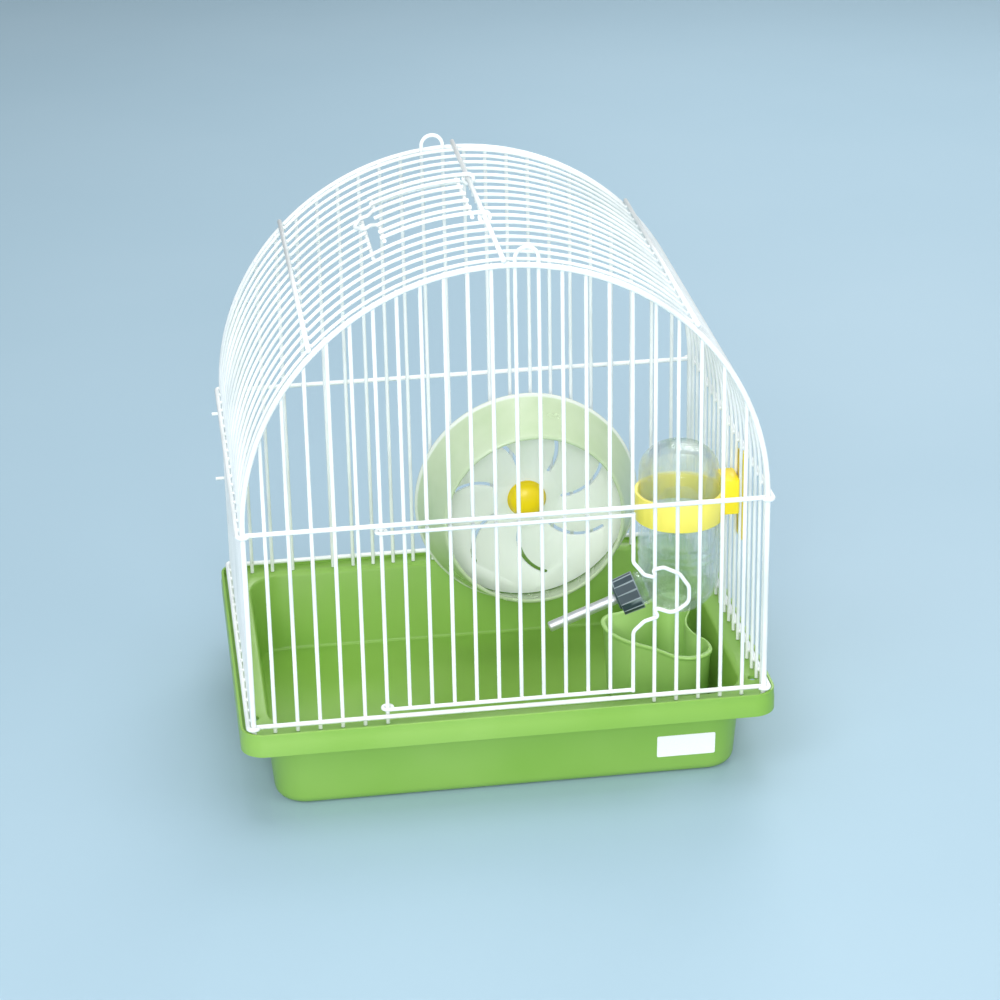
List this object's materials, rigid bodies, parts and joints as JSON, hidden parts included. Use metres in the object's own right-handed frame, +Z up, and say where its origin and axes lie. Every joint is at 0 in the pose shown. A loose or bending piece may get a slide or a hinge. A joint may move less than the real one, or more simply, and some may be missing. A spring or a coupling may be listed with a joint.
{
  "type": "hamster cage",
  "caption": "Domed wire hamster cage on a moulded tray, with a front door, a roof door, a running wheel, a water bottle and a food bowl.",
  "frame": {"origin": "on the floor under the middle of the tray", "axes": "+Z up; the front door faces -Y; the bottle and the bowl stand towards +X"},
  "size_m": [0.27, 0.204, 0.2925],
  "materials": {
    "green_plastic": "satin",
    "bowl_green": "gloss",
    "white_wire": "gloss",
    "wheel_green_clear": "translucent gloss",
    "wheel_milky_white": "satin",
    "yellow_plastic": "gloss",
    "bottle_clear": "clear gloss",
    "dark_grey_plastic": "matte",
    "seal_rubber": "matte",
    "spout_steel": "polished",
    "label_paper": "matte"
  },
  "bodies": {
    "tray": {"tray": "green_plastic", "label_sticker": "label_paper"},
    "cage": {"front_frame": "white_wire", "back_frame": "white_wire", "front_rails": "white_wire", "back_rails": "white_wire", "front_bars": "white_wire", "front_upper_bars": "white_wire", "front_eye_wire": "white_wire", "back_bars": "white_wire", "back_eye_wire": "white_wire", "roof_wires_front": "white_wire", "roof_wires_back": "white_wire", "roof_wires_middle_left": "white_wire", "roof_wires_middle_right": "white_wire", "ridge_wire": "white_wire", "shoulder_wires": "white_wire", "side_wires": "white_wire", "roof_sill_wire": "white_wire", "corner_hooks": "white_wire", "wheel_axle": "wheel_milky_white", "wheel_bracket": "wheel_milky_white", "wheel_clamp_nut": "wheel_milky_white", "bottle_holder": "yellow_plastic", "holder_clamp": "yellow_plastic", "holder_screw": "spout_steel"},
    "front_door": {"front_door_top_rail": "white_wire", "front_door_bottom_rail": "white_wire", "front_door_bars": "white_wire", "front_door_latch_wire": "white_wire"},
    "roof_door": {"roof_door_rails": "white_wire", "roof_door_bars": "white_wire", "roof_door_tie": "white_wire", "roof_door_latch_wire": "white_wire"},
    "wheel": {"wheel_drum": "wheel_green_clear", "wheel_disc": "wheel_milky_white", "wheel_hub_cap": "yellow_plastic"},
    "bottle": {"bottle": "bottle_clear", "bottle_cap": "dark_grey_plastic", "bottle_seal": "seal_rubber", "spout_tube": "spout_steel"},
    "spout_ball": {"spout_ball": "spout_steel"},
    "bowl": {"food_bowl": "bowl_green"}
  },
  "joints": [
    {"name": "cage_lift", "type": "slide", "parent": "tray", "child": "cage", "axis": [0, 0, 1], "range_m": [0, 0.12]},
    {"name": "front_door_hinge", "type": "hinge", "parent": "cage", "child": "front_door", "pos_m": [-0.0616, -0.093, 0.1035], "axis": [0, 0, -1], "range_deg": [0, 150]},
    {"name": "roof_door_hinge", "type": "hinge", "parent": "cage", "child": "roof_door", "pos_m": [0, 0, 0.28642], "axis": [0, 1, 0], "range_deg": [0, 130]},
    {"name": "wheel_spin", "type": "hinge", "parent": "cage", "child": "wheel", "pos_m": [0.0336, 0.06, 0.0882], "axis": [0, 1, 0], "continuous": true},
    {"name": "bottle_lift", "type": "slide", "parent": "cage", "child": "bottle", "axis": [0, 0, 1], "range_m": [0, 0.02]},
    {"name": "spout_ball_push", "type": "slide", "parent": "bottle", "child": "spout_ball", "axis": [0.9336, 0, 0.3584], "range_m": [0, 0.002]},
    {"name": "bowl_lift", "type": "slide", "parent": "tray", "child": "bowl", "axis": [0, 0, 1], "range_m": [0, 0.012]}
  ]
}
